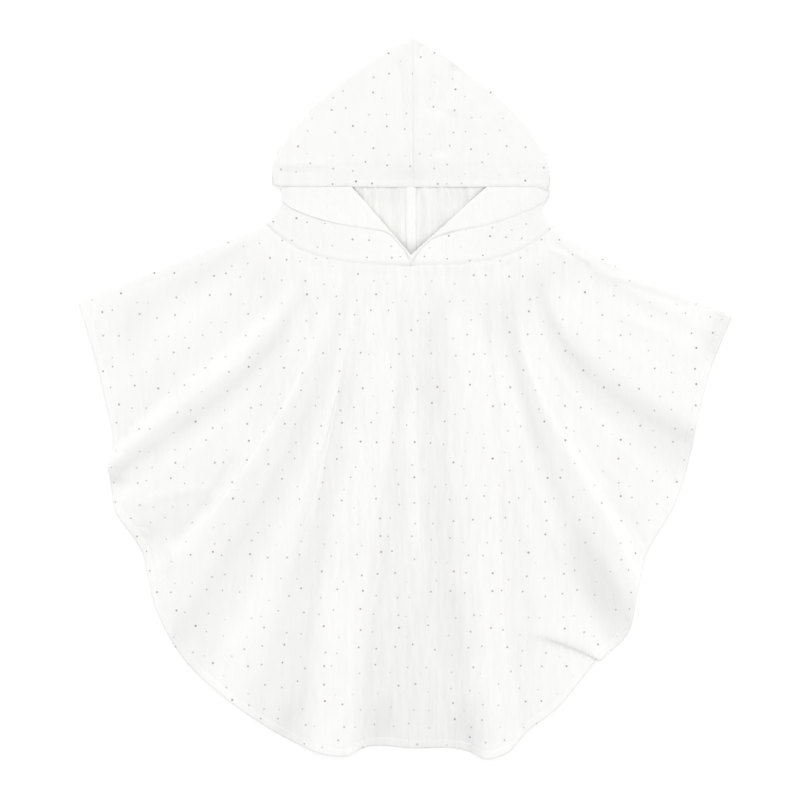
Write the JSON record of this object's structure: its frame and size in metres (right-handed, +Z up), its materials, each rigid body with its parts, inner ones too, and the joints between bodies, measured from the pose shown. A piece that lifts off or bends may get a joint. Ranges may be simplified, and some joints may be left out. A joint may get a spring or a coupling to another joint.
{
  "type": "hooded poncho towel",
  "caption": "Child's hooded poncho towel of crinkled cotton muslin, laid flat face up with the hood opened out above the neck.",
  "frame": {"origin": "middle of the base of the box round the poncho, on the surface it lies on", "axes": "+Z up from the surface, +Y from the hem to the tip of the hood, +X from the left sleeve to the right one, as seen from above with the hood at the top"},
  "size_m": [0.654, 0.7202, 0.015],
  "materials": {
    "muslin_front": "crinkled double gauze, matt, with small scattered dots on the outside",
    "muslin_back": "crinkled double gauze, matt, plain inside",
    "binding_tape": "smooth woven cotton tape"
  },
  "bodies": {
    "root": {"front_panel": "muslin_front", "back_panel": "muslin_back", "hood_left": "muslin_front", "hood_right": "muslin_front", "hood_seam_binding": "binding_tape"}
  },
  "joints": []
}
